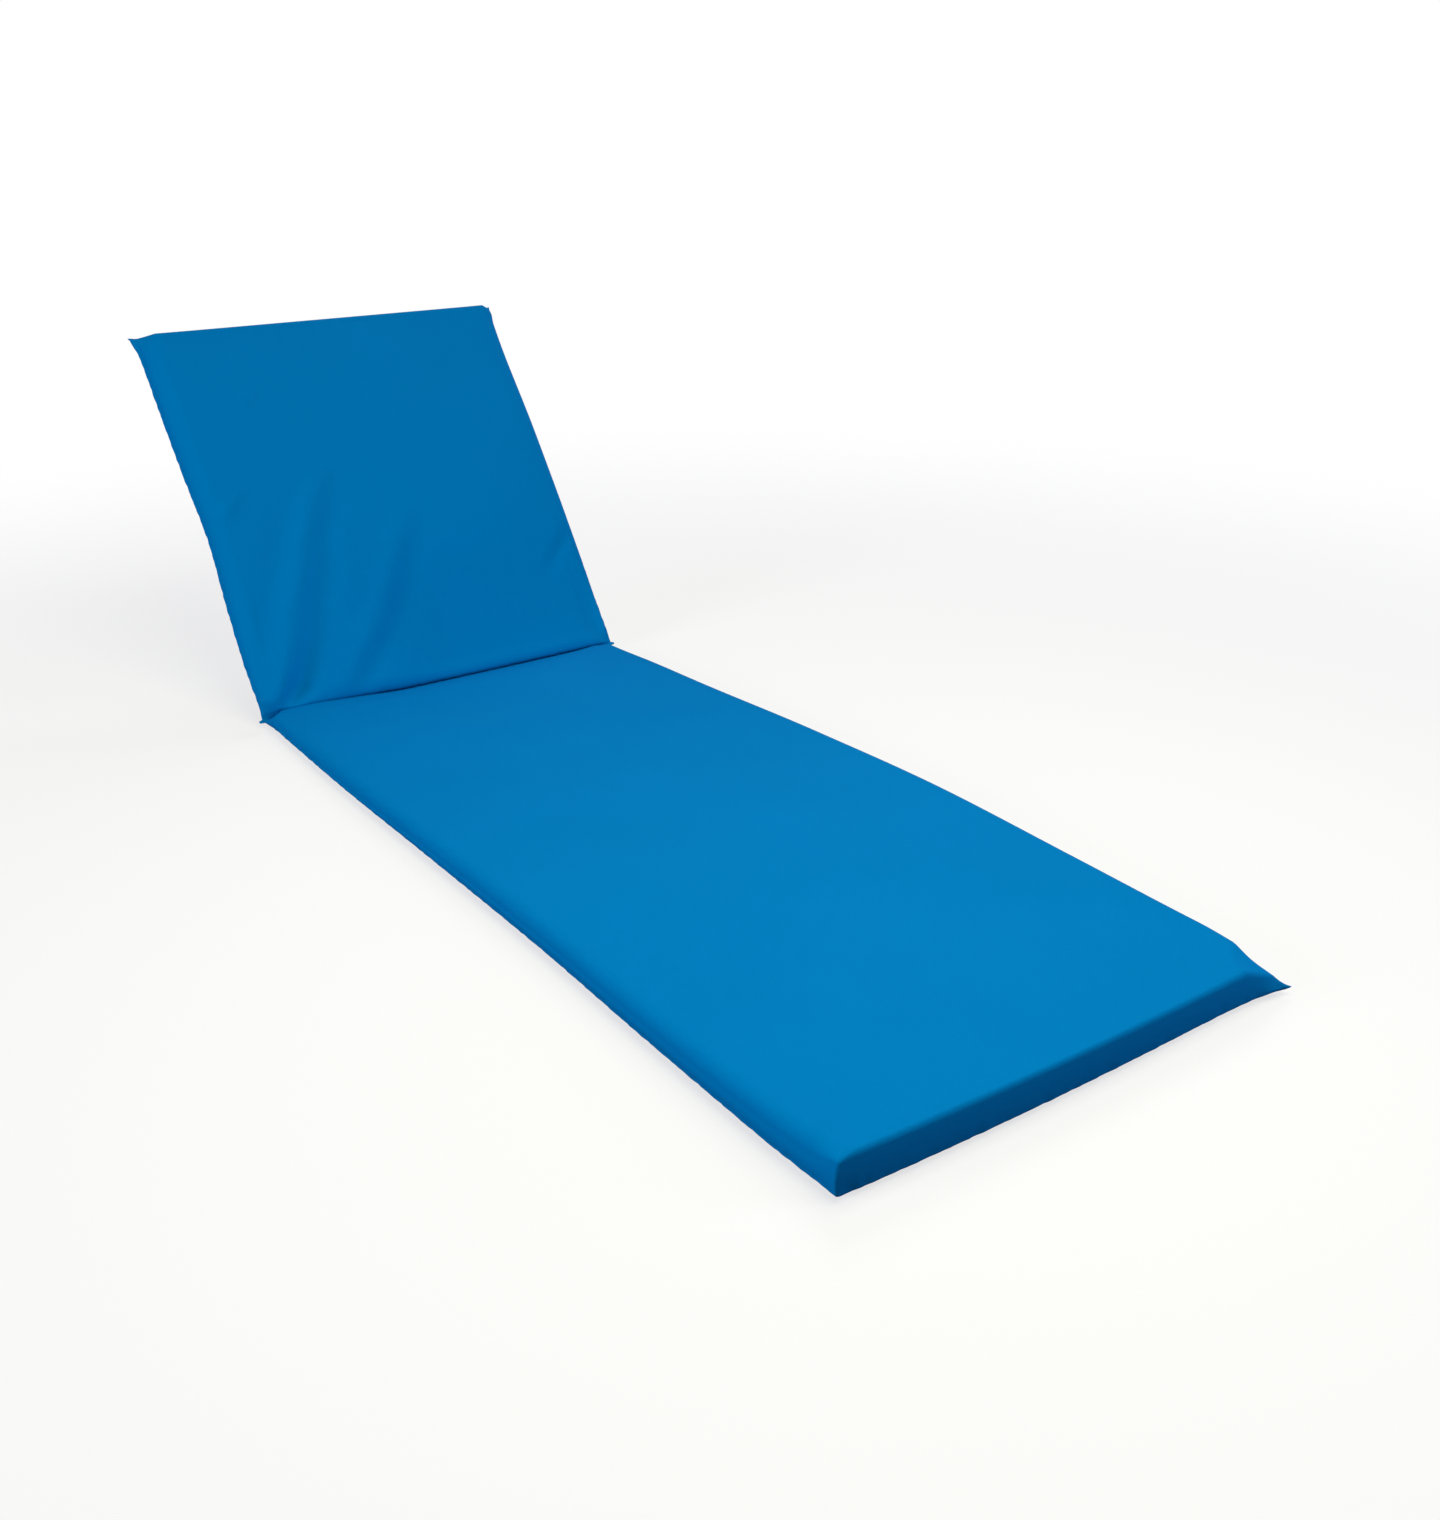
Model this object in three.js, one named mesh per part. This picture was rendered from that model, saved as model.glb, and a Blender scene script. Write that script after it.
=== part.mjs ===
import * as THREE from 'three';

// Sun lounger cushion in two padded panels, joined by a stitched strip that folds.
// Each panel is a top cloth and an under cloth sewn together round the rim over a slab of filling.
// The long seat panel lies flat, and the shorter back panel is raised about the fold.
// Millimetres, +Z up, X across, +Y from the foot end towards the back.
// The origin is on the seat panel's underside, halfway between the foot end and the fold.

// Driving dimensions
const SEAT_LENGTH = 1310;
const BACK_LENGTH = 634;
const BACK_RAISE_DEGREES = 51.7;
const STRIP_REACH = 301;
const STRIP_WIDTH = 8;
const STRIP_THICKNESS = 2;
const TAB_LENGTH = 16;
const TAB_TIP_WING = 1.5;
const GAP = 0.3;

// Height of the rim seam
const SEAM_HEIGHT = 10;

// Where the two raised faces meet over the strip, as a rise above the seam by share of the width.
// The near corner is plump, and over the rest the faces run right down to the strip.
const CREASE_LINE = [
  { along: 0, rise: 15 },
  { along: 0.12, rise: 15 },
  { along: 0.24, rise: 10 },
  { along: 0.4, rise: 3.2 },
  { along: 0.62, rise: 3 },
  { along: 0.86, rise: 3.2 },
  { along: 1, rise: 6 },
];
const FACE_GAP = 0.5;
const FACE_LEANS_FROM = 0.6;

// How far along the sides the height of the fold's edge passes into that of the free edges
const FOLD_EDGE_RUN = 90;

// How far along the sides the crisp edge of the free end reaches
const FREE_EDGE_REACH = 35;

// Swell of the sides and of the free end above the seam, as part of a half wave that the rounded
// edge takes over
const SIDE_SWELL = 3;
const FREE_SWELL = 0.8;
const SWELL_TURN = 0.8 * Math.PI;

// Corners in plan, and how much faster they round where the face runs in from the edge
const CORNER_RADIUS = 6;
const UNDER_CORNER_RADIUS = 8;
const INSET_CORNER_SHARE = 0.3;

// Pinched corners: how far along the rim they draw out, and how fast they fade with height
const EAR_RUN = 35;
const EAR_FADE = 2.2;
const EAR_RISE_SHARE = 0.55;
const EAR_EDGE_SHARE = 0.8;

// Mesh steps
const UNDER_STEPS = 4;
const SIDE_STEPS = 3;
const EDGE_STEPS = 5;
const CLOSE_NEAR_CORNER = 75;
const CLOSE_STEP_SHARE = 0.28;
const CLOSE_STEP_GROWTH = 1.4;

// The crown has its full height over the middle of the panel's length
const CROWN_ALONG_REACH = 2;

const CLOTH = { color: 0x007cbe, roughness: 0.82, metalness: 0 };

// Seat outline from the foot end to the fold: half widths and edge thicknesses of the two sides
const SEAT_PLAN = [
  { along: 0, left: 288, right: 283, leftThick: 45, rightThick: 42.5 },
  { along: 105, left: 292, right: 294, leftThick: 43.5, rightThick: 42.5 },
  { along: 288, left: 291, right: 295.5, leftThick: 41.5, rightThick: 46 },
  { along: 524, left: 287.5, right: 298.5, leftThick: 39, rightThick: 48.5 },
  { along: 786, left: 289.5, right: 295, leftThick: 35.5, rightThick: 43.5 },
  { along: 1048, left: 292.5, right: 287, leftThick: 31.5, rightThick: 35 },
  { along: 1219, left: 290.5, right: 282.5, leftThick: 28.5, rightThick: 30 },
  { along: 1310, left: 285, right: 276, leftThick: 27, rightThick: 26 },
];

// Back outline from the fold to the head end
const BACK_PLAN = [
  { along: 0, left: 290.5, right: 290.5, leftThick: 31, rightThick: 31 },
  { along: 76, left: 293, right: 294.5, leftThick: 34, rightThick: 34 },
  { along: 178, left: 290, right: 295.5, leftThick: 37, rightThick: 37 },
  { along: 293, left: 284, right: 297, leftThick: 38, rightThick: 38 },
  { along: 407, left: 288, right: 298, leftThick: 38, rightThick: 38 },
  { along: 534, left: 290, right: 296.5, leftThick: 37.5, rightThick: 37.5 },
  { along: 634, left: 288.5, right: 299, leftThick: 36.5, rightThick: 36.5 },
];

// Folds of the loose cover on the back panel's face, as stations along a crest or a trough:
// x, y, width, and height, which is below 0 for a trough. In order: the long fold's crest with the
// troughs on both sides, the short fold's crest and trough, the sag across the lower part, and the
// right edge.
const BACK_FOLDS = [
  [
    [-90, 365, 18, 0.4],
    [-110, 330, 20, 3],
    [-132, 300, 22, 5],
    [-161, 250, 22, 6],
    [-181, 200, 24, 6.5],
    [-208, 150, 26, 6.8],
    [-226, 100, 25, 7],
    [-251, 50, 20, 7],
    [-274, 10, 16, 6],
  ],
  [
    [-62, 365, 18, -0.4],
    [-80, 330, 20, -2.5],
    [-100, 300, 21, -4],
    [-129, 250, 21, -5.2],
    [-144, 200, 23, -5.8],
    [-170, 150, 25, -6.4],
    [-190, 100, 24, -7.6],
    [-222, 50, 20, -8.6],
    [-252, 10, 16, -8.6],
  ],
  [
    [-142, 350, 20, -0.4],
    [-164, 300, 21, -2],
    [-194, 250, 21, -2.4],
    [-216, 200, 22, -2.4],
    [-244, 150, 22, -2.2],
    [-262, 100, 18, -1.6],
  ],
  [
    [22, 285, 18, 0.4],
    [4, 250, 22, 2.4],
    [-31, 200, 23, 3.8],
    [-58, 150, 24, 4.6],
    [-93, 100, 24, 4.8],
    [-143, 50, 22, 3.8],
    [-172, 18, 18, 2.4],
  ],
  [
    [48, 280, 18, -0.4],
    [34, 250, 21, -2],
    [2, 200, 22, -3.4],
    [-24, 150, 24, -4.4],
    [-59, 100, 24, -4.8],
    [-110, 50, 20, -4.2],
    [-136, 18, 16, -2],
  ],
  [
    [-290, 110, 80, -0.5],
    [-100, 90, 95, -7],
    [20, 88, 110, -14],
    [270, 88, 110, -13],
  ],
  [
    [298, 0, 42, -8],
    [298, 60, 40, -6.5],
    [298, 130, 20, -0.5],
  ],
];

const SEAT = {
  length: SEAT_LENGTH,
  plan: SEAT_PLAN,
  foldAtEnd: true,
  underRound: 16,
  edgeHeight: 17,
  freeHeight: 6,
  sideEdge: 15,
  freeEdge: 4,
  foldEdge: 75,
  foldRoundness: 0,
  crown: 3,
  freeSetBack: 10,
  freeBow: 6,
  acrossSteps: 22,
  alongSteps: 28,
  ears: {
    startLeft: { out: 2, on: -3 },
    startRight: { out: 24, on: 13 },
    endLeft: { out: 9, on: 0 },
    endRight: { out: 12, on: 0 },
  },
  folds: [],
};

const BACK = {
  length: BACK_LENGTH,
  plan: BACK_PLAN,
  foldAtEnd: false,
  underRound: 42,
  edgeHeight: 23,
  freeHeight: 10,
  sideEdge: 30,
  freeEdge: 8,
  foldEdge: 28,
  foldRoundness: 0.7,
  crown: 4,
  freeSetBack: 11.5,
  freeBow: 0,
  acrossSteps: 40,
  alongSteps: 36,
  ears: {
    startLeft: { out: 6, on: 0 },
    startRight: { out: 6, on: 0 },
    endLeft: { out: 13, on: 8 },
    endRight: { out: 9, on: 7 },
  },
  folds: BACK_FOLDS,
};

const raise = THREE.MathUtils.degToRad(BACK_RAISE_DEGREES);
// The two panels share out the opening above the fold, so each leans back by half the raise
const LEAN = Math.tan(raise / 2);
const FOLD_SET_BACK = STRIP_WIDTH / 2 + GAP;
const { smoothstep, lerp, clamp } = THREE.MathUtils;

// A smooth curve through one column of a plan, with no overshoot between its rows
function column(plan, name) {
  const rises = plan.slice(1).map((row, i) => (row[name] - plan[i][name]) / (row.along - plan[i].along));
  const slopes = plan.map((row, i) => {
    if (i === 0) return rises[0];
    if (i === plan.length - 1) return rises[i - 1];
    const before = rises[i - 1];
    const after = rises[i];
    return before * after > 0 ? (2 * before * after) / (before + after) : 0;
  });
  return (along) => {
    const y = clamp(along, 0, plan[plan.length - 1].along);
    let i = 0;
    while (i < plan.length - 2 && y > plan[i + 1].along) i += 1;
    const run = plan[i + 1].along - plan[i].along;
    const t = (y - plan[i].along) / run;
    const ease = t * t * (3 - 2 * t);
    const leave = t * (1 - t) * (1 - t) * run * slopes[i];
    const arrive = t * t * (t - 1) * run * slopes[i + 1];
    return lerp(plan[i][name], plan[i + 1][name], ease) + leave + arrive;
  };
}

// Shares from 0 to 1, set closer together near both ends of a side
function shares(count, length) {
  const closeCount = Math.round(count * CLOSE_STEP_SHARE);
  const reach = CLOSE_NEAR_CORNER / length;
  const list = [];
  for (let i = 0; i <= count; i += 1) {
    const fromEnd = Math.min(i, count - i);
    const near = reach * (fromEnd / closeCount) ** CLOSE_STEP_GROWTH;
    const far = lerp(reach, 1 - reach, (fromEnd - closeCount) / (count - 2 * closeCount));
    const share = fromEnd <= closeCount ? near : far;
    list.push(i <= count / 2 ? share : 1 - share);
  }
  return list;
}

// Height of the cover's folds at a point of the face: each gives the height of its nearest point
function foldHeight(folds, x, y) {
  let height = 0;
  for (const stations of folds) {
    let nearest = { away: Infinity };
    for (let i = 0; i < stations.length - 1; i += 1) {
      const [fromX, fromY, fromWidth, fromHeight] = stations[i];
      const [toX, toY, toWidth, toHeight] = stations[i + 1];
      const runX = toX - fromX;
      const runY = toY - fromY;
      const t = clamp(((x - fromX) * runX + (y - fromY) * runY) / (runX ** 2 + runY ** 2), 0, 1);
      const away = Math.hypot(x - lerp(fromX, toX, t), y - lerp(fromY, toY, t));
      if (away < nearest.away) {
        nearest = { away, width: lerp(fromWidth, toWidth, t), height: lerp(fromHeight, toHeight, t) };
      }
    }
    height += nearest.height * Math.exp(-((nearest.away / nearest.width) ** 2));
  }
  return height;
}

// One filled panel as a closed mesh: rings from the underside up over the sides, then the crown
function panelGeometry(panel) {
  const { length, plan, foldAtEnd, ears } = panel;
  const left = column(plan, 'left');
  const right = column(plan, 'right');
  const leftThick = column(plan, 'leftThick');
  const rightThick = column(plan, 'rightThick');
  const width = plan[0].left + plan[0].right;
  const across = shares(panel.acrossSteps, width);
  const along = shares(panel.alongSteps, length);

  const thick = (s, t) => lerp(leftThick(t * length), rightThick(t * length), s);
  const creaseRise = column(CREASE_LINE, 'rise');
  const faceSetBack = (s, rise) => {
    const leaned = FACE_GAP + LEAN * creaseRise(s) * rise;
    const met = FACE_GAP + LEAN * creaseRise(s);
    return Math.max(leaned, lerp(FOLD_SET_BACK, met, smoothstep(rise, FACE_LEANS_FROM, 1)));
  };
  const nearFold = (t) => 1 - smoothstep((foldAtEnd ? 1 - t : t) * length, 0, FOLD_EDGE_RUN);
  const edgeHeight = (s, t) => {
    const atFold = thick(s, t) - SEAM_HEIGHT - creaseRise(s);
    const alongSides = lerp(panel.edgeHeight, atFold, nearFold(t));
    const fromFree = (foldAtEnd ? t : 1 - t) * length;
    return lerp(panel.freeHeight, alongSides, smoothstep(fromFree, 0, FREE_EDGE_REACH));
  };

  // Plan position of a point of a ring, from its shares across and along
  function place(s, t, ring) {
    const fade = (distance) => ring.ear * Math.exp(-distance / EAR_RUN);
    const fromStart = t * length;
    const fromEnd = length - fromStart;
    const outLeft = fade(fromStart) * ears.startLeft.out + fade(fromEnd) * ears.endLeft.out;
    const outRight = fade(fromStart) * ears.startRight.out + fade(fromEnd) * ears.endRight.out;
    const x0 = -left(fromStart) + ring.side - outLeft;
    const x1 = right(fromStart) - ring.side + outRight;
    const onStart = fade(s * width) * ears.startLeft.on + fade((1 - s) * width) * ears.startRight.on;
    const onEnd = fade(s * width) * ears.endLeft.on + fade((1 - s) * width) * ears.endRight.on;
    const bow = panel.freeBow * Math.sin(Math.PI * s);
    const freeBack = panel.freeSetBack - bow + ring.free;
    const startBack = foldAtEnd ? freeBack : ring.fold(s);
    const endBack = foldAtEnd ? ring.fold(s) : freeBack;
    const y0 = startBack - onStart;
    const y1 = length - endBack + onEnd;
    let x = lerp(x0, x1, s);
    let y = lerp(y0, y1, t);
    // The corner is rounded by turning the points near it onto a quarter circle
    const inX = s < 0.5 ? 1 : -1;
    const inY = t < 0.5 ? 1 : -1;
    const cornerX = s < 0.5 ? x0 : x1;
    const cornerY = t < 0.5 ? y0 : y1;
    const radius = ring.corner;
    const onAnEnd = t === 0 || t === 1;
    const distance = onAnEnd ? Math.abs(x - cornerX) : Math.abs(y - cornerY);
    if (radius > 0 && distance < radius) {
      const angle = ((1 - distance / radius) * Math.PI) / 4;
      const flat = radius * (1 - Math.sin(angle));
      const rise = radius * (1 - Math.cos(angle));
      x = cornerX + inX * (onAnEnd ? flat : rise);
      y = cornerY + inY * (onAnEnd ? rise : flat);
    }
    return [x, y];
  }

  const rings = [];
  for (let k = 0; k < UNDER_STEPS; k += 1) {
    const angle = (Math.PI / 2) * (k / UNDER_STEPS);
    const inset = panel.underRound * (1 - Math.sin(angle));
    const ear = Math.sin(angle) ** 3;
    rings.push({
      side: inset,
      free: inset,
      fold: () => FOLD_SET_BACK + inset,
      ear,
      corner: UNDER_CORNER_RADIUS * (1 - ear),
      height: () => SEAM_HEIGHT * (1 - Math.cos(angle)),
    });
  }
  for (let k = 0; k < SIDE_STEPS; k += 1) {
    const rise = k / SIDE_STEPS;
    const swell = Math.sin(SWELL_TURN * rise);
    rings.push({
      side: -SIDE_SWELL * swell,
      free: -FREE_SWELL * swell,
      fold: (s) => faceSetBack(s, rise),
      ear: (1 - EAR_RISE_SHARE * rise) ** EAR_FADE,
      corner: (CORNER_RADIUS / 2) * rise,
      height: (s, t) => lerp(SEAM_HEIGHT, thick(s, t) - edgeHeight(s, t), rise),
    });
  }
  for (let k = 0; k <= EDGE_STEPS; k += 1) {
    const turn = k / EDGE_STEPS;
    const angle = (Math.PI / 2) * turn;
    const swell = Math.sin(SWELL_TURN) * Math.cos(angle);
    const over = 1 - Math.cos(angle);
    const inset = panel.sideEdge * over - SIDE_SWELL * swell;
    const foldInset = panel.foldEdge * lerp(turn, over, panel.foldRoundness);
    rings.push({
      side: inset,
      free: panel.freeEdge * over - FREE_SWELL * swell,
      fold: (s) => faceSetBack(s, 1) + foldInset,
      ear: Math.max(0, 1 - EAR_RISE_SHARE * (1 + EAR_EDGE_SHARE * turn)) ** EAR_FADE,
      corner: CORNER_RADIUS * lerp(0.5, 1, turn) + inset * INSET_CORNER_SHARE,
      height: (s, t) => thick(s, t) - edgeHeight(s, t) * (1 - Math.sin(angle)),
      folds: smoothstep(turn, 0, 1),
    });
  }

  // The rim in order: the start from left to right, up the right side, then back down the left
  const rim = [];
  across.slice(0, -1).forEach((s) => rim.push([s, 0]));
  along.slice(0, -1).forEach((t) => rim.push([1, t]));
  across.slice(1).reverse().forEach((s) => rim.push([s, 1]));
  along.slice(1).reverse().forEach((t) => rim.push([0, t]));

  const points = [];
  for (const ring of rings) {
    for (const [s, t] of rim) {
      const [x, y] = place(s, t, ring);
      const relief = ring.folds ? foldHeight(panel.folds, x, y) * ring.folds : 0;
      points.push([x, y, ring.height(s, t) + relief]);
    }
  }

  const triangles = [];
  const quad = (a, b, c, d) => triangles.push([a, b, c], [a, c, d]);
  const count = rim.length;
  for (let r = 0; r < rings.length - 1; r += 1) {
    for (let i = 0; i < count; i += 1) {
      const a = r * count + i;
      const b = r * count + ((i + 1) % count);
      quad(a, b, b + count, a + count);
    }
  }

  // The underside is one flat face inside the first ring
  const outline = points.slice(0, count).map(([x, y]) => new THREE.Vector2(x, y));
  for (const [a, b, c] of THREE.ShapeUtils.triangulateShape(outline, [])) {
    triangles.push([a, c, b]);
  }

  // The face: a grid blended from the last ring, raised by the crown and the folds
  const nAcross = panel.acrossSteps;
  const nAlong = panel.alongSteps;
  const last = (rings.length - 1) * count;
  const onRim = (i, j) => {
    if (j === 0) return last + i;
    if (i === nAcross) return last + nAcross + j;
    if (j === nAlong) return last + nAcross + nAlong + (nAcross - i);
    return last + 2 * nAcross + nAlong + (nAlong - j);
  };
  const grid = [];
  for (let j = 0; j <= nAlong; j += 1) {
    grid.push([]);
    for (let i = 0; i <= nAcross; i += 1) {
      const edge = i === 0 || j === 0 || i === nAcross || j === nAlong;
      if (edge) {
        grid[j].push(onRim(i, j));
      } else {
        const s = across[i];
        const t = along[j];
        const blend = (axis) => {
          const at = (a, b) => points[onRim(a, b)][axis];
          const ends = lerp(at(i, 0), at(i, nAlong), t) + lerp(at(0, j), at(nAcross, j), s);
          const low = lerp(at(0, 0), at(nAcross, 0), s);
          const high = lerp(at(0, nAlong), at(nAcross, nAlong), s);
          return ends - lerp(low, high, t);
        };
        const x = blend(0);
        const y = blend(1);
        const swell = 4 * s * (1 - s) * smoothstep(4 * CROWN_ALONG_REACH * t * (1 - t), 0, 1);
        grid[j].push(points.length);
        points.push([x, y, thick(s, t) + panel.crown * swell + foldHeight(panel.folds, x, y)]);
      }
    }
  }
  for (let j = 0; j < nAlong; j += 1) {
    for (let i = 0; i < nAcross; i += 1) {
      quad(grid[j][i], grid[j][i + 1], grid[j + 1][i + 1], grid[j + 1][i]);
    }
  }
  return meshGeometry(points, triangles);
}

function meshGeometry(points, triangles) {
  const geometry = new THREE.BufferGeometry();
  geometry.setAttribute('position', new THREE.Float32BufferAttribute(points.flat(), 3));
  geometry.setIndex(triangles.flat());
  geometry.computeVertexNormals();
  return geometry;
}

// The stitched strip: a flat band bent at the fold, narrowing to a point beyond each side.
// It is centred on the fold axis, with one wing level and the other raised with the back.
function stripGeometry() {
  const half = STRIP_THICKNESS / 2;
  const miter = half * LEAN;
  const tabs = [
    { x: -STRIP_REACH, wing: TAB_TIP_WING },
    { x: -STRIP_REACH + TAB_LENGTH, wing: STRIP_WIDTH / 2 },
    { x: -STRIP_REACH / 2, wing: STRIP_WIDTH / 2 },
    { x: 0, wing: STRIP_WIDTH / 2 },
    { x: STRIP_REACH / 2, wing: STRIP_WIDTH / 2 },
    { x: STRIP_REACH - TAB_LENGTH, wing: STRIP_WIDTH / 2 },
    { x: STRIP_REACH, wing: TAB_TIP_WING },
  ];
  const points = [];
  for (const { x, wing } of tabs) {
    const upY = Math.cos(raise);
    const upZ = Math.sin(raise);
    points.push([x, -wing, -half]);
    points.push([x, miter, -half]);
    points.push([x, wing * upY + half * upZ, wing * upZ - half * upY]);
    points.push([x, wing * upY - half * upZ, wing * upZ + half * upY]);
    points.push([x, -miter, half]);
    points.push([x, -wing, half]);
  }
  const sides = 6;
  const triangles = [];
  for (let r = 0; r < tabs.length - 1; r += 1) {
    for (let i = 0; i < sides; i += 1) {
      const a = r * sides + i;
      const b = r * sides + ((i + 1) % sides);
      triangles.push([a, b, b + sides], [a, b + sides, a + sides]);
    }
  }
  // Each end is the level wing's four points and the raised wing's four, sharing the bend
  const wings = [[0, 1, 4, 5], [1, 2, 3, 4]];
  const last = (tabs.length - 1) * sides;
  for (const [a, b, c, d] of wings) {
    triangles.push([a, c, b], [a, d, c]);
    triangles.push([last + a, last + b, last + c], [last + a, last + c, last + d]);
  }
  return meshGeometry(points, triangles);
}

function clothMesh(name, geometry) {
  const mesh = new THREE.Mesh(geometry, new THREE.MeshStandardMaterial(CLOTH));
  mesh.name = name;
  return mesh;
}

const cushion = new THREE.Group();

const seat = clothMesh('seat_panel', panelGeometry(SEAT));
seat.position.set(0, -SEAT_LENGTH / 2, 0);
cushion.add(seat);

const strip = clothMesh('hinge_strip', stripGeometry());
strip.position.set(0, SEAT_LENGTH / 2, SEAM_HEIGHT);
cushion.add(strip);

const raised = new THREE.Group();
raised.position.set(0, SEAT_LENGTH / 2, SEAM_HEIGHT);
raised.rotation.x = raise;
const back = clothMesh('back_panel', panelGeometry(BACK));
back.position.z = -SEAM_HEIGHT;
raised.add(back);
cushion.add(raised);

export default cushion;
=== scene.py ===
import math
from types import SimpleNamespace

import bpy
import numpy as np
from mathutils import Matrix, Vector


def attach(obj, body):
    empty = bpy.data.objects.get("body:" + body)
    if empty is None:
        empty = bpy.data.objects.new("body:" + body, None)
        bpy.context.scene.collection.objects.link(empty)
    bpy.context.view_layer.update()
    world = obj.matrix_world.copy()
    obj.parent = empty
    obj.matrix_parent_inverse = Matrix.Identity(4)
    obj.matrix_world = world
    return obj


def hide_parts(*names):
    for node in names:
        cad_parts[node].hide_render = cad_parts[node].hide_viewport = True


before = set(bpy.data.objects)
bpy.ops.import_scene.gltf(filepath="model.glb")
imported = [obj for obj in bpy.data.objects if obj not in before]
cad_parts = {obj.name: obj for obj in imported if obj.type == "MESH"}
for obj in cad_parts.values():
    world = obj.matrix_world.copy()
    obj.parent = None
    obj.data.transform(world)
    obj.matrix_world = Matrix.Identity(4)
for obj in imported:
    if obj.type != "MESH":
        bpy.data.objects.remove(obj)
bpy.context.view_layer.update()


# Camera
# It stands left of the foot end and looks down along the cushion to the raised back.
# Its place, angles and focal length make the outline fall where the photograph has it.
PHOTO_LONG_SIDE = 1520
FOCAL_LENGTH_PIXELS = 1589.8
SENSOR_MILLIMETRES = 36.0
CAMERA_PLACE = (-0.99623, -1.46434, 0.87658)
CAMERA_TURN = math.radians(35.519)
CAMERA_DIP = math.radians(23.467)
CAMERA_ROLL = math.radians(0.079)

camera = bpy.data.objects.new("camera", bpy.data.cameras.new("camera"))
camera.data.sensor_width = SENSOR_MILLIMETRES
camera.data.lens = SENSOR_MILLIMETRES * FOCAL_LENGTH_PIXELS / PHOTO_LONG_SIDE
camera.data.clip_end = 200.0
camera.matrix_world = (
    Matrix.Translation(CAMERA_PLACE)
    @ Matrix.Rotation(-CAMERA_TURN, 4, "Z")
    @ Matrix.Rotation(math.pi / 2 - CAMERA_DIP, 4, "X")
    @ Matrix.Rotation(CAMERA_ROLL, 4, "Z")
)
bpy.context.collection.objects.link(camera)
bpy.context.scene.camera = camera


# Studio
# A pale floor that runs out into a white sweep, and four soft lamps. The floor and the sweep
# look almost white but throw little light back, so the foot end stays dark.
FLOOR_SIZE = 60.0
FLOOR_PAINT = "#F9F9FA"
FLOOR_BOUNCE = "#7C7D80"
SWEEP_WHITE = 1.0
SWEEP_NEAR = 0.7
SWEEP_STARTS = 1.0
SWEEP_WHITE_FROM = 2.6


def linear(hex_colour):
    """An sRGB hex colour as linear red, green, blue and alpha."""
    shares = [int(hex_colour[i : i + 2], 16) / 255 for i in (1, 3, 5)]
    return [c / 12.92 if c <= 0.04045 else ((c + 0.055) / 1.055) ** 2.4 for c in shares] + [1.0]


def add(tree, kind, inputs=None, **settings):
    """Adds a node. An input is set to a value, or linked if the value is another node's output."""
    node = tree.nodes.new("ShaderNode" + kind)
    for name, value in settings.items():
        setattr(node, name, value)
    for key, value in (inputs or {}).items():
        if isinstance(value, bpy.types.NodeSocket):
            tree.links.new(value, node.inputs[key])
        else:
            node.inputs[key].default_value = value
    return node


bpy.context.scene.view_settings.view_transform = "Standard"

floor_mesh = bpy.data.meshes.new("floor")
half_floor = FLOOR_SIZE / 2
floor_corners = [(-half_floor, -half_floor, 0), (half_floor, -half_floor, 0)]
floor_corners += [(half_floor, half_floor, 0), (-half_floor, half_floor, 0)]
floor_mesh.from_pydata(floor_corners, [], [(0, 1, 2, 3)])
floor = bpy.data.objects.new("floor", floor_mesh)
bpy.context.collection.objects.link(floor)

floor_paint = bpy.data.materials.new("matt pale floor paint")
floor_paint.use_nodes = True
tree = floor_paint.node_tree
tree.nodes.clear()
ray = add(tree, "LightPath")
shade = add(
    tree,
    "Mix",
    {0: ray.outputs["Is Camera Ray"], "A": linear(FLOOR_BOUNCE), "B": linear(FLOOR_PAINT)},
    data_type="RGBA",
)
paint = add(tree, "BsdfDiffuse", {"Color": shade.outputs["Result"]})
place = add(tree, "NewGeometry")
away = add(tree, "VectorMath", {0: place.outputs["Position"]}, operation="LENGTH")
far = add(
    tree,
    "MapRange",
    {
        "Value": away.outputs["Value"],
        "From Min": SWEEP_STARTS,
        "From Max": SWEEP_WHITE_FROM,
        "To Min": SWEEP_NEAR,
    },
    interpolation_type="SMOOTHSTEP",
)
seen_far = add(
    tree, "Math", {0: far.outputs["Result"], 1: ray.outputs["Is Camera Ray"]}, operation="MULTIPLY"
)
sweep = add(tree, "Emission", {"Strength": SWEEP_WHITE})
blend = add(
    tree, "MixShader", {0: seen_far.outputs[0], 1: paint.outputs["BSDF"], 2: sweep.outputs["Emission"]}
)
add(tree, "OutputMaterial", {"Surface": blend.outputs["Shader"]})
floor.data.materials.append(floor_paint)

world = bpy.data.worlds.new("studio")
world.use_nodes = True
tree = world.node_tree
tree.nodes.clear()
ray = add(tree, "LightPath")
strength = add(tree, "Math", {0: ray.outputs["Is Camera Ray"], 1: SWEEP_WHITE}, operation="MULTIPLY")
sky = add(tree, "Background", {"Color": linear("#FFFFFF"), "Strength": strength.outputs["Value"]})
add(tree, "OutputWorld", {"Surface": sky.outputs["Background"]})
bpy.context.scene.world = world

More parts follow.
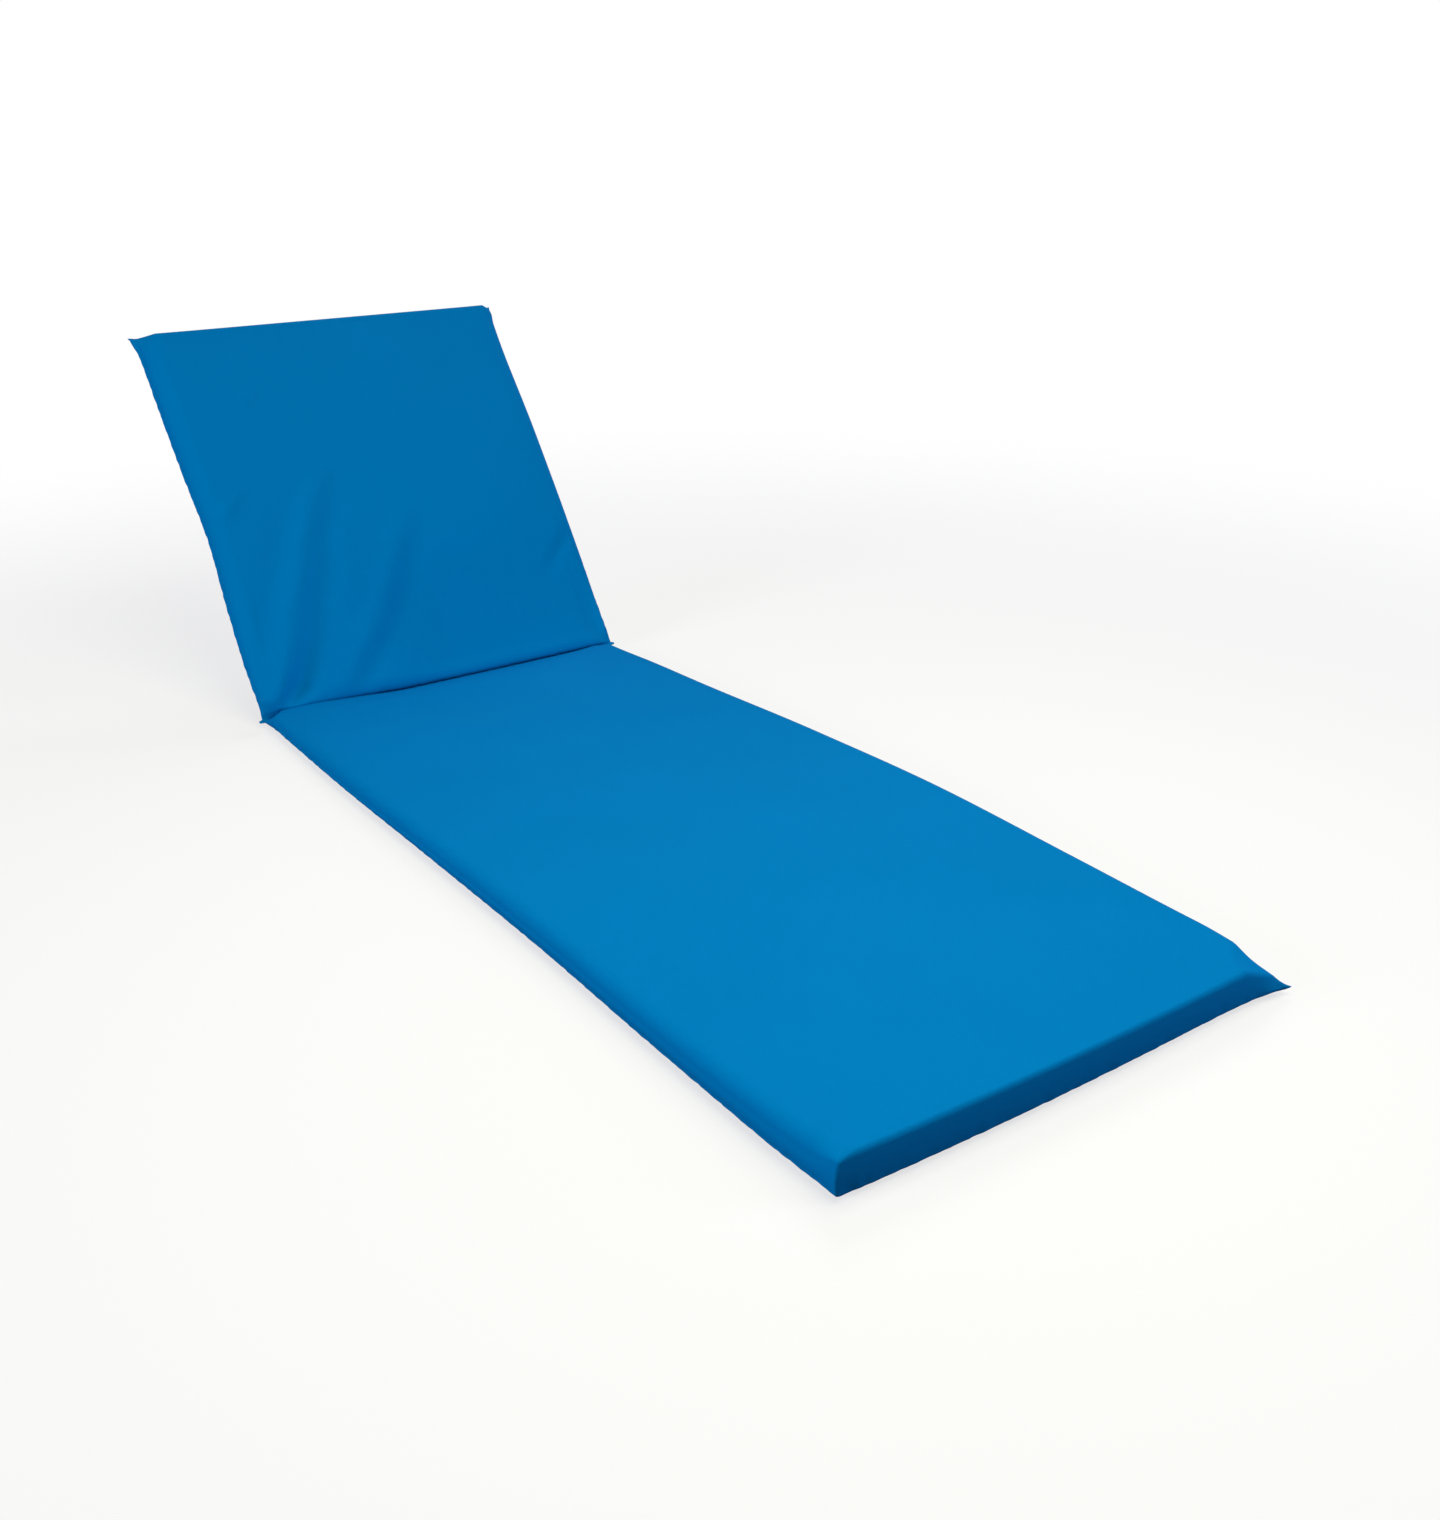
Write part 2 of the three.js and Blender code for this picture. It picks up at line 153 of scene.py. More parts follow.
# Each lamp is a square softbox turned towards the cushion: place and size in metres, power in watts.
LAMP_AIM = Vector((0.0, 0.0, 0.05))
LAMPS = {
    "left_softbox": {"place": (-4.83, 0.2, 1.4), "size": 2.0, "power": 139, "colour": "#F4F4FF"},
    "right_softbox": {"place": (3.4, -3.2, 1.4), "size": 2.0, "power": 83, "colour": "#DCDCFF"},
    "rear_softbox": {"place": (2.7, 2.9, 3.3), "size": 2.0, "power": 95, "colour": "#F8F8FF"},
    "seat_softbox": {"place": (0.0, -0.6, 1.7), "size": 1.2, "power": 23.2, "colour": "#FFFFE1"},
}
for name, lamp in LAMPS.items():
    light = bpy.data.lights.new(name, "AREA")
    light.size = lamp["size"]
    light.energy = lamp["power"]
    light.color = linear(lamp["colour"])[:3]
    softbox = bpy.data.objects.new(name, light)
    softbox.location = lamp["place"]
    softbox.rotation_euler = (Vector(lamp["place"]) - LAMP_AIM).to_track_quat("Z", "Y").to_euler()
    bpy.context.collection.objects.link(softbox)


# Seat panel
# The long flat panel: a slab of filling between two woven polyester cloths, which are sewn together
# face to face round the rim and turned, so that no stitch shows there. The seam draws the rim in
# between the corners, which stand out as small pinched ears.
SEAT_LENGTH = 1.310
BACK_RAISE = math.radians(51.7)
STRIP_WIDTH = 0.008
STRIP_GAP = 0.0003
SEAM_HEIGHT = 0.010

# In the fold each face stands straight up to a share of its height, and then leans to the other's
FACE_LEANS_FROM = 0.6
FOLD_EDGE_RUN = 0.090

# The sides swell a little over the seam, and the free end hardly at all
SIDE_SWELL = 0.003
FREE_SWELL = 0.0008
FREE_EDGE_REACH = 0.035
SWELL_TURN = 0.8 * math.pi

# The rim seam is a groove, fainter at the free end, with puckers of uneven length beside it
SEAM_DEPTH = 0.0007
FREE_SEAM_SHARE = 0.25
SEAM_WIDTH = 0.0018
PUCKER_HEIGHT = 0.0005
PUCKER_LENGTH = 0.021
PUCKER_REACH = 0.008
PUCKER_STRETCHES = (0.6, 0.85, 1.0, 1.35, 2.1)
PUCKER_PEAK = 2.6

# Corners are rounded a little, and draw out into ears that fade along the rim and above the seam
CORNER_RADIUS = 0.006
UNDER_CORNER_RADIUS = 0.008
INSET_CORNER_SHARE = 0.3
EAR_RUN = 0.035
EAR_FADE = 2.2
UNDER_EAR_FADE = 3
EAR_RISE_SHARE = 0.55
EAR_EDGE_SHARE = 0.8

# The crown is level over the middle, and the mesh is finer near the corners
CROWN_ALONG_REACH = 2
FOLD_STATIONS = 12
MESH_STEP = 0.0055
MESH_STEP_AT_CORNER = 0.002
MESH_CORNER_REACH = 0.06
UNDER_STEPS = 10
SIDE_STEPS = 10
EDGE_STEPS = 10

# Where the two faces meet in the fold, by share of the width: how far this is above the seam, and
# the gap on each side of the middle. The near corner is plump and parts into a dark slit, and over
# the rest the faces run right down to the strip.
CREASE_LINE = (
    (0.00, 0.0150, 0.0030),
    (0.04, 0.0155, 0.0018),
    (0.07, 0.0155, 0.0003),
    (0.12, 0.0150, 0.0003),
    (0.24, 0.0095, 0.0003),
    (0.40, 0.0020, 0.0003),
    (0.62, 0.0015, 0.0003),
    (0.86, 0.0020, 0.0003),
    (1.00, 0.0060, 0.0003),
)

# The outline from the foot end to the fold: distance along, left and right half widths, and the
# thickness at the left and right edge
SEAT_PLAN = (
    (0.000, 0.2880, 0.2830, 0.0485, 0.0430),
    (0.105, 0.2920, 0.2940, 0.0450, 0.0430),
    (0.288, 0.2910, 0.2955, 0.0415, 0.0460),
    (0.524, 0.2875, 0.2985, 0.0390, 0.0485),
    (0.786, 0.2895, 0.2950, 0.0355, 0.0435),
    (1.048, 0.2925, 0.2870, 0.0315, 0.0350),
    (1.219, 0.2905, 0.2825, 0.0285, 0.0300),
    (1.310, 0.2850, 0.2760, 0.0270, 0.0260),
)

# Each corner draws out sideways and endways into an ear. Its pinch is the share of the thickness
# that is lost at the tip, and its reach how far in from the tip that fades.
SEAT_EARS = {
    "start_left": {"out": 0.002, "on": -0.003, "pinch": 0.0, "reach": 0.010},
    "start_right": {"out": 0.0215, "on": 0.013, "pinch": 0.80, "reach": 0.064},
    "end_left": {"out": 0.009, "on": 0.003, "pinch": 0.95, "reach": 0.026},
    "end_right": {"out": 0.012, "on": 0.003, "pinch": 0.95, "reach": 0.026},
}

# A panel's section: how round the under edge is, the height and the run in of the upper edge at the
# sides, the free end and the fold, the crown of each face, how far the free end is set back from
# its ears and bows out again between them, and the rest that sets this panel apart
SEAT_SHAPE = {
    "length": SEAT_LENGTH,
    "plan": SEAT_PLAN,
    "fold_at_end": True,
    "under_round": 0.016,
    "edge_height": 0.017,
    "free_height": 0.006,
    "side_edge": 0.015,
    "free_edge": 0.004,
    "fold_edge": 0.075,
    "fold_roundness": 0.0,
    "crown": 0.003,
    "under_crown": 0.0,
    "free_set_back": 0.010,
    "free_bow": 0.006,
    "ears": SEAT_EARS,
    "folds": (),
    "mesh_step": MESH_STEP,
}


def lerp(a, b, t):
    return a + (b - a) * t


def smooth(t):
    t = np.clip(t, 0, 1)
    return t * t * (3 - 2 * t)


def plan_curve(plan, column):
    """A smooth curve through one column of a plan, with no overshoot between its rows."""
    along = np.array([row[0] for row in plan])
    value = np.array([row[column] for row in plan])
    run = np.diff(along)
    rise = np.diff(value) / run
    slope = np.concatenate([rise[:1], np.zeros(len(plan) - 2), rise[-1:]])
    for i in range(1, len(plan) - 1):
        if rise[i - 1] * rise[i] > 0:
            slope[i] = 2 * rise[i - 1] * rise[i] / (rise[i - 1] + rise[i])

    def curve(y):
        y = np.clip(y, along[0], along[-1])
        i = np.clip(np.searchsorted(along, y, side="right") - 1, 0, len(run) - 1)
        t = (y - along[i]) / run[i]
        leave = t * (1 - t) ** 2 * run[i] * slope[i]
        arrive = t * t * (t - 1) * run[i] * slope[i + 1]
        return lerp(value[i], value[i + 1], smooth(t)) + leave + arrive

    return curve


def shares(length, step):
    """Shares from 0 to 1 along a side, about a step apart and closer together at both ends."""
    half = [0.0]
    while half[-1] < length / 2:
        half.append(half[-1] + lerp(MESH_STEP_AT_CORNER, step, smooth(half[-1] / MESH_CORNER_REACH)))
    half = np.array(half) / half[-1] / 2
    return np.concatenate([half, 1 - half[-2::-1]])


def uneven(run, length, seed):
    """A wandering value from about -1 to 1 along a line, whose waves are about that length."""
    draw = np.random.default_rng(seed)
    total = np.zeros_like(run)
    for stretch in PUCKER_STRETCHES:
        total += np.sin(2 * np.pi * run / (length * stretch) + draw.uniform(0, 2 * np.pi))
    return total / PUCKER_PEAK


def fold_height(folds, x, y):
    """Height of the loose cover's folds at points of a face."""
    height = np.zeros_like(x)
    for stations in folds:
        stations = np.array(stations)
        even = np.linspace(0, len(stations) - 1, FOLD_STATIONS * (len(stations) - 1) + 1)
        path = np.stack([np.interp(even, np.arange(len(stations)), column) for column in stations.T])
        away = np.hypot(x[..., None] - path[0], y[..., None] - path[1])
        nearest = away.argmin(-1)
        reach = np.take_along_axis(away, nearest[..., None], -1)[..., 0]
        height += path[3][nearest] * np.exp(-((reach / path[2][nearest]) ** 2))
    return height


def rim_of(shape):
    """A panel's rim as shares across and along, in order: the start, right, end and left edge."""
    plan = shape["plan"]
    width = plan[0][1] + plan[0][2]
    across = shares(width, shape["mesh_step"])
    along = shares(shape["length"], shape["mesh_step"])
    n_across = len(across) - 1
    n_along = len(along) - 1
    s = np.concatenate([across[:-1], np.ones(n_along), across[:0:-1], np.zeros(n_along)])
    t = np.concatenate([np.zeros(n_across), along[:-1], np.ones(n_across), along[:0:-1]])
    on_end = (t == 0) | (t == 1)
    out_x = np.where(on_end, 0, np.sign(s - 0.5))
    out_y = np.where(on_end, np.sign(t - 0.5), 0)
    corners = {
        "start_left": 0,
        "start_right": n_across,
        "end_right": n_across + n_along,
        "end_left": 2 * n_across + n_along,
    }
    return SimpleNamespace(
        width=width,
        across=across,
        along=along,
        s=s,
        t=t,
        count=len(s),
        on_end=on_end,
        outward=np.stack([out_x, out_y], 1),
        corners=corners,
    )


def four_edges(rim, ring):
    """A ring's values along the start, right, end and left edge, each in the direction of x or y."""
    right = rim.corners["start_right"]
    end = rim.corners["end_right"]
    left = rim.corners["end_left"]
    left_edge = np.concatenate([ring[left:], ring[:1]])[::-1]
    return ring[: right + 1], ring[right : end + 1], ring[end : left + 1][::-1], left_edge


def thickness(shape):
    """A panel's thickness as a function of the shares across and along."""
    left_thick, right_thick = (plan_curve(shape["plan"], column) for column in (3, 4))

    def thick(s, t):
        y = t * shape["length"]
        return lerp(left_thick(y), right_thick(y), s)

    return thick


def section_rings(shape, rim, thick):
    """A panel's rings, from the under cloth up over the sides. Each says how far it lies in from
    the plan at the sides, the free end and the fold, its share of the ears, its corners' radius
    and its height."""
    length = shape["length"]
    crease_rise, crease_gap = (plan_curve(CREASE_LINE, column)(rim.s) for column in (1, 2))
    lean = math.tan(BACK_RAISE / 2)
    met = crease_gap + lean * crease_rise
    fold_set_back = STRIP_WIDTH / 2 + STRIP_GAP
    top = thick(rim.s, rim.t)
    from_fold = ((1 - rim.t) if shape["fold_at_end"] else rim.t) * length
    at_fold = top - SEAM_HEIGHT - crease_rise
    near_fold = lerp(at_fold, shape["edge_height"], smooth(from_fold / FOLD_EDGE_RUN))
    edge_height = lerp(shape["free_height"], near_fold, smooth((length - from_fold) / FREE_EDGE_REACH))
    rings = []
    for k in range(UNDER_STEPS):
        angle = math.pi / 2 * k / UNDER_STEPS
        inset = shape["under_round"] * (1 - math.sin(angle))
        ear = math.sin(angle) ** UNDER_EAR_FADE
        rings.append({
            "side": inset,
            "free": inset,
            "fold": fold_set_back + inset,
            "ear": ear,
            "corner": UNDER_CORNER_RADIUS * (1 - ear),
            "height": np.full(rim.count, SEAM_HEIGHT * (1 - math.cos(angle))),
        })
    for k in range(SIDE_STEPS):
        rise = k / SIDE_STEPS
        swell = math.sin(SWELL_TURN * rise)
        leaned = crease_gap + lean * crease_rise * rise
        leaning = smooth((rise - FACE_LEANS_FROM) / (1 - FACE_LEANS_FROM))
        rings.append({
            "side": -SIDE_SWELL * swell,
            "free": -FREE_SWELL * swell,
            "fold": np.maximum(leaned, lerp(fold_set_back, met, leaning)),
            "ear": (1 - EAR_RISE_SHARE * rise) ** EAR_FADE,
            "corner": CORNER_RADIUS / 2 * rise,
            "height": lerp(SEAM_HEIGHT, top - edge_height, rise),
        })
    for k in range(EDGE_STEPS + 1):
        turn = k / EDGE_STEPS
        angle = math.pi / 2 * turn
        swell = math.sin(SWELL_TURN) * math.cos(angle)
        over = 1 - math.cos(angle)
        inset = shape["side_edge"] * over - SIDE_SWELL * swell
        rings.append({
            "side": inset,
            "free": shape["free_edge"] * over - FREE_SWELL * swell,
            "fold": met + shape["fold_edge"] * lerp(turn, over, shape["fold_roundness"]),
            "ear": max(0, 1 - EAR_RISE_SHARE * (1 + EAR_EDGE_SHARE * turn)) ** EAR_FADE,
            "corner": CORNER_RADIUS * lerp(0.5, 1, turn) + inset * INSET_CORNER_SHARE,
            "height": top - edge_height * (1 - math.sin(angle)),
        })
    return rings


def ear_fade(distance):
    return np.exp(-distance / EAR_RUN)


def ring_points(shape, rim, ring):
    """A ring's points, with the ears drawn out and the corners rounded."""
    length = shape["length"]
    ears = shape["ears"]
    left, right = (plan_curve(shape["plan"], column)(rim.t * length) for column in (1, 2))
    start = ear_fade(rim.t * length) * ring["ear"]
    end = ear_fade((1 - rim.t) * length) * ring["ear"]
    x0 = -left + ring["side"] - start * ears["start_left"]["out"] - end * ears["end_left"]["out"]
    x1 = right - ring["side"] + start * ears["start_right"]["out"] + end * ears["end_right"]["out"]
    near_left = ear_fade(rim.s * rim.width) * ring["ear"]
    near_right = ear_fade((1 - rim.s) * rim.width) * ring["ear"]
    on_start = near_left * ears["start_left"]["on"] + near_right * ears["start_right"]["on"]
    on_finish = near_left * ears["end_left"]["on"] + near_right * ears["end_right"]["on"]
    free = shape["free_set_back"] - shape["free_bow"] * np.sin(np.pi * rim.s) + ring["free"]
    at_start, at_end = (free, ring["fold"]) if shape["fold_at_end"] else (ring["fold"], free)
    y0 = at_start - on_start
    y1 = length - at_end + on_finish
    x = lerp(x0, x1, rim.s)
    y = lerp(y0, y1, rim.t)
    # The corner is rounded by turning the points near it onto a quarter circle
    in_x = np.where(rim.s < 0.5, 1, -1)
    in_y = np.where(rim.t < 0.5, 1, -1)
    corner_x = np.where(rim.s < 0.5, x0, x1)
    corner_y = np.where(rim.t < 0.5, y0, y1)
    radius = ring["corner"]
    distance = np.where(rim.on_end, np.abs(x - corner_x), np.abs(y - corner_y))
    angle = (1 - np.clip(distance / max(radius, 1e-9), 0, 1)) * np.pi / 4
    flat = radius * (1 - np.sin(angle))
    rise = radius * (1 - np.cos(angle))
    turned = distance < radius
    x = np.where(turned, corner_x + in_x * np.where(rim.on_end, flat, rise), x)
    y = np.where(turned, corner_y + in_y * np.where(rim.on_end, rise, flat), y)
    return np.stack([x, y, ring["height"]], 1)


def sew_rim(rim, rim_points, seed):
    """Sinks the seam round the rim as a shallow groove, and puckers the cloth beside it a little."""
    seam = rim_points[UNDER_STEPS]
    step_on = np.roll(seam, -1, 0) - seam
    run = np.concatenate([[0], np.cumsum(np.linalg.norm(step_on, axis=1))[:-1]])
    pucker = PUCKER_HEIGHT * uneven(run, PUCKER_LENGTH, seed)
    from_seam = rim_points[:, :, 2] - SEAM_HEIGHT
    depth = SEAM_DEPTH * np.where(rim.on_end, FREE_SEAM_SHARE, 1)
    groove = depth * np.exp(-((from_seam / SEAM_WIDTH) ** 2))
    beside = np.exp(-((from_seam / PUCKER_REACH) ** 2)) * pucker
    rim_points[:, :, :2] += (beside - groove)[:, :, None] * rim.outward


def blended_face(rim, ring, height):
    """A grid of points blended from one ring, inside it as high as that function of the grid says."""
    start, right, end, left = four_edges(rim, ring)
    s = rim.across[None, :, None]
    t = rim.along[:, None, None]
    blend = lerp(start[None], end[None], t) + lerp(left[:, None], right[:, None], s)
    grid = blend - lerp(lerp(start[0], start[-1], s), lerp(end[0], end[-1], s), t)
    grid[1:-1, 1:-1, 2] = height(grid)[1:-1, 1:-1]
    return grid


def pinch_corners(ears, tips, points):
    """Brings the cloth above the seam down to it at each ear's tip."""
    for corner, ear in ears.items():
        away = np.linalg.norm(points[..., :2] - tips[corner], axis=-1)
        lost = ear["pinch"] * np.clip(1 - away / ear["reach"], 0, 1)
        points[..., 2] -= np.maximum(points[..., 2] - SEAM_HEIGHT, 0) * lost


def cloth_run(rim, rim_points, edge):
    """The rim points' places on the flat cloth, so that the weave runs over the edge unstretched."""
    strides = np.linalg.norm(np.diff(rim_points, axis=0), axis=2)
    reach = np.concatenate([np.zeros((1, rim.count)), np.cumsum(strides, axis=0)])
    reach = np.abs(reach - reach[edge])
    return (rim_points[edge][None, :, :2] + reach[:, :, None] * rim.outward[None]).reshape(-1, 2)


def grid_index(rim, first, inner_first):
    """Point numbers of a face's grid, with a ring's own points round its rim."""
    index = np.zeros((len(rim.along), len(rim.across)), int)
    index[0, :], index[:, -1], index[-1, :], index[:, 0] = four_edges(rim, first + np.arange(rim.count))
    inner = index[1:-1, 1:-1]
    inner[:] = inner_first + np.arange(inner.size).reshape(inner.shape)
    return index


def grid_quads(index):
    corners = [index[:-1, :-1], index[:-1, 1:], index[1:, 1:], index[1:, :-1]]
    return np.stack(corners, -1).reshape(-1, 4)


def panel_faces(rim, n_rings, top_index, under_index):
    """The quads of the under cloth and of the top cloth, which meet in the seam."""
    i = np.arange(rim.count)
    after = (i + 1) % rim.count
    between = []
    for r in range(n_rings - 1):
        low = r * rim.count
        high = low + rim.count
        between.append(np.stack([low + i, low + after, high + after, high + i], 1))
    # The under face is turned over, each quad still starting at the same point
    turned_over = grid_quads(under_index)[:, [0, 3, 2, 1]]
    under_cloth = np.concatenate([*between[:UNDER_STEPS], turned_over])
    top_cloth = np.concatenate([*between[UNDER_STEPS:], grid_quads(top_index)])
    return under_cloth, top_cloth


def panel_piece(name, shape, place_in_frame):
    """One filled panel as a closed mesh: rings from the under cloth up over the sides, and two faces."""
    rim = rim_of(shape)
    thick = thickness(shape)
    rings = section_rings(shape, rim, thick)
    rim_points = np.array([ring_points(shape, rim, ring) for ring in rings])
    # The folds run out over the rounded edges
    for k in range(EDGE_STEPS + 1):
        ring = rim_points[UNDER_STEPS + SIDE_STEPS + k]
        ring[:, 2] += fold_height(shape["folds"], ring[:, 0], ring[:, 1]) * smooth(k / EDGE_STEPS)
    sew_rim(rim, rim_points, seed=len(name))

    s, t = np.meshgrid(rim.across, rim.along)
    swell = 4 * s * (1 - s) * smooth(4 * CROWN_ALONG_REACH * t * (1 - t))

    def top_height(grid):
        relief = fold_height(shape["folds"], grid[:, :, 0], grid[:, :, 1])
        return thick(s, t) + shape["crown"] * swell + relief

    def under_height(grid):
        return -shape["under_crown"] * swell

    top = blended_face(rim, rim_points[-1], top_height)
    under = blended_face(rim, rim_points[0], under_height)
    tips = {corner: rim_points[UNDER_STEPS, index, :2].copy() for corner, index in rim.corners.items()}
    for points in (rim_points, top):
        pinch_corners(shape["ears"], tips, points)

    inner_top = top[1:-1, 1:-1].reshape(-1, 3)
    inner_under = under[1:-1, 1:-1].reshape(-1, 3)
    points = np.concatenate([rim_points.reshape(-1, 3), inner_top, inner_under])
    n_rim = len(rings) * rim.count
    top_index = grid_index(rim, n_rim - rim.count, n_rim)
    under_index = grid_index(rim, 0, n_rim + len(inner_top))
    under_cloth, top_cloth = panel_faces(rim, len(rings), top_index, under_index)
    inner_runs = points[n_rim:, :2]
    on_under = np.concatenate([cloth_run(rim, rim_points, 0), inner_runs])[under_cloth]
    on_top = np.concatenate([cloth_run(rim, rim_points, -1), inner_runs])[top_cloth]
    faces = np.concatenate([under_cloth, top_cloth])

    mesh = bpy.data.meshes.new(name)
    mesh.from_pydata(points.tolist(), [], faces.tolist())
    cloth = mesh.uv_layers.new(name="cloth")
    cloth.data.foreach_set("uv", np.concatenate([on_under, on_top]).astype(np.float32).ravel())
    mesh.polygons.foreach_set("use_smooth", np.ones(len(faces), bool))
    mesh.transform(place_in_frame)
    piece = bpy.data.objects.new(name, mesh)
    bpy.context.collection.objects.link(piece)
    return piece


# Woven polyester, dyed blue and matt: a plain weave with a soft sheen where it curves away.
# Real threads are about 0.5 mm apart. They are drawn coarser, or the render couldn't show them.
# Dye blotches are 200 mm across, flecks 2.4 mm and rumples 17 mm, with scales in marks a metre. Slubs
# run in the threads' own measure, so that one is about 4 mm long.
CLOTH_BLUE = "#007BC2"
CLOTH_GLINT = "#0070FF"
CLOTH_SHEEN = "#0078E0"
THREAD_PITCH = 0.0013
SLUB_SCALE = 0.11
THREAD_WANDER = 1.6
BLOTCH_SCALE = 5.0
BLOTCH_SHADE = 0.10
FLECK_SCALE = 420.0
FLECK_SHADE = 0.08
THREAD_PAINTED_SHEEN = 0.025
DARKEST_SHADE = 0.91
RUMPLE_SCALE = 60.0
RUMPLE_DEPTH = 0.0015
THREAD_DEPTH = 0.0003
CLOTH_ROUGHNESS = 0.88
THREAD_TOP_GLOSS = 0.08


def woven_polyester():
    material = bpy.data.materials.new("blue woven polyester")
    material.use_nodes = True
    tree = material.node_tree
    tree.nodes.clear()
    flat = add(tree, "UVMap", uv_map="cloth")
    per_metre = (math.pi / THREAD_PITCH,) * 3
    threads = add(tree, "VectorMath", {0: flat.outputs["UV"], 1: per_metre}, operation="MULTIPLY")
    slub = add(tree, "TexNoise", {"Vector": threads.outputs[0], "Scale": SLUB_SCALE, "Detail": 2.0})
    wander = add(tree, "VectorMath", {0: slub.outputs["Color"], "Scale": THREAD_WANDER}, operation="SCALE")
    drawn = add(tree, "VectorMath", {0: threads.outputs[0], 1: wander.outputs[0]}, operation="ADD")
    split = add(tree, "SeparateXYZ", {0: drawn.outputs[0]})
    warp = add(tree, "Math", {0: split.outputs["X"]}, operation="SINE")
    weft = add(tree, "Math", {0: split.outputs["Y"]}, operation="SINE")
    crossing = add(tree, "Math", {0: warp.outputs[0], 1: weft.outputs[0]}, operation="MULTIPLY")
    bead = add(tree, "Math", {0: crossing.outputs[0]}, operation="ABSOLUTE")

    blotch = add(tree, "TexNoise", {"Vector": flat.outputs["UV"], "Scale": BLOTCH_SCALE, "Detail": 3.0})
    fleck = add(tree, "TexNoise", {"Vector": flat.outputs["UV"], "Scale": FLECK_SCALE, "Detail": 2.0})
    # The blotches and flecks vary the dye at random. The thread crossings lighten warp cells and darken weft
    # cells in the colour, a painted sheen on the weave.
    value = DARKEST_SHADE
    for mark, shade in (
        (blotch.outputs["Fac"], BLOTCH_SHADE),
        (fleck.outputs["Fac"], FLECK_SHADE),
        (crossing.outputs[0], THREAD_PAINTED_SHEEN),
    ):
        value = add(tree, "Math", {0: mark, 1: shade, 2: value}, operation="MULTIPLY_ADD").outputs[0]
    tint = add(tree, "HueSaturation", {"Value": value, "Color": linear(CLOTH_BLUE)})
    rough = add(
        tree, "Math", {0: bead.outputs[0], 1: -THREAD_TOP_GLOSS, 2: CLOTH_ROUGHNESS}, operation="MULTIPLY_ADD"
    )
    weave = add(tree, "Bump", {"Strength": 0.35, "Distance": THREAD_DEPTH, "Height": bead.outputs[0]})
    rumple = add(tree, "TexNoise", {"Vector": flat.outputs["UV"], "Scale": RUMPLE_SCALE, "Detail": 3.0})
    soft = add(
        tree,
        "Bump",
        {
            "Strength": 0.25,
            "Distance": RUMPLE_DEPTH,
            "Height": rumple.outputs["Fac"],
            "Normal": weave.outputs["Normal"],
        },
    )
    cloth = add(
        tree,
        "BsdfPrincipled",
        {
            "Base Color": tint.outputs["Color"],
            "Roughness": rough.outputs[0],
            "IOR": 1.5,
            "Specular IOR Level": 0.03,
            "Specular Tint": linear(CLOTH_GLINT),
            "Sheen Weight": 0.06,
            "Sheen Roughness": 0.45,
            "Sheen Tint": linear(CLOTH_SHEEN),
            "Normal": soft.outputs["Normal"],
        },
    )
    add(tree, "OutputMaterial", {"Surface": cloth.outputs["BSDF"]})
    return material


blue_cloth = woven_polyester()
seat = panel_piece("seat_cushion", SEAT_SHAPE, Matrix.Translation((0, -SEAT_LENGTH / 2, 0)))
seat.data.materials.append(blue_cloth)
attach(seat, "root")
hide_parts("seat_panel")


# Hinge strip
# The flat band between the two panels, where top cloth and under cloth are stitched together.
# It is what bends when the back is raised, and it narrows over its last centimetre at each side.
STRIP_REACH = 0.301
STRIP_THICKNESS = 0.002
TAB_LENGTH = 0.010
TAB_TIP_WING = 0.0020
CAUGHT_IN_SEAM = 0.0008
STRIP_MESH_STEP = 0.004
STRIP_BEND_STEPS = 6
STRIP_EDGE_ROUNDING = 6
STRIP_EDGE_HALF = 0.0001
hinge_place = Matrix.Translation((0, SEAT_LENGTH / 2, SEAM_HEIGHT))

strip_x = np.linspace(-STRIP_REACH, STRIP_REACH, round(2 * STRIP_REACH / STRIP_MESH_STEP) + 1)
strip_points = []
for x in strip_x:
    from_tip = STRIP_REACH - abs(x)
    wing = lerp(TAB_TIP_WING, STRIP_WIDTH / 2 + CAUGHT_IN_SEAM, min(1, from_tip / TAB_LENGTH))
    lower = []
    upper = []
    for turn in np.linspace(-1, 1, 2 * STRIP_BEND_STEPS + 1):
        angle = BACK_RAISE * smooth(turn * 0.5 + 0.5)
        reach = wing * turn
        bent = BACK_RAISE if turn >= 0 else 0.0
        middle = reach * np.array([math.cos(bent), math.sin(bent)])
        across_band = np.array([-math.sin(angle), math.cos(angle)])
        plump = math.sqrt(max(0.0, 1 - abs(turn) ** STRIP_EDGE_ROUNDING))
        half = STRIP_THICKNESS / 2 * plump + STRIP_EDGE_HALF
        lower.append((x, *(middle - across_band * half)))
        upper.append((x, *(middle + across_band * half)))
    strip_points += lower + upper[::-1]
n_around = 2 * (2 * STRIP_BEND_STEPS + 1)
strip_faces = []
for r in range(len(strip_x) - 1):
    for i in range(n_around):
        a = r * n_around + i
        b = r * n_around + (i + 1) % n_around
        strip_faces.append((a, b, b + n_around, a + n_around))
last = (len(strip_x) - 1) * n_around
strip_faces.append(tuple(range(n_around))[::-1])
strip_faces.append(tuple(last + i for i in range(n_around)))
strip_mesh = bpy.data.meshes.new("hinge_band")
strip_mesh.from_pydata(strip_points, [], strip_faces)
strip_cloth = strip_mesh.uv_layers.new(name="cloth")
for loop in strip_mesh.loops:
    point = strip_mesh.vertices[loop.vertex_index].co
    strip_cloth.data[loop.index].uv = (point.x, point.y + point.z)
strip_mesh.polygons.foreach_set("use_smooth", np.ones(len(strip_faces), bool))
strip_mesh.transform(hinge_place)
strip = bpy.data.objects.new("hinge_band", strip_mesh)
bpy.context.collection.objects.link(strip)
strip.data.materials.append(blue_cloth)
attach(strip, "root")
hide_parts("hinge_strip")


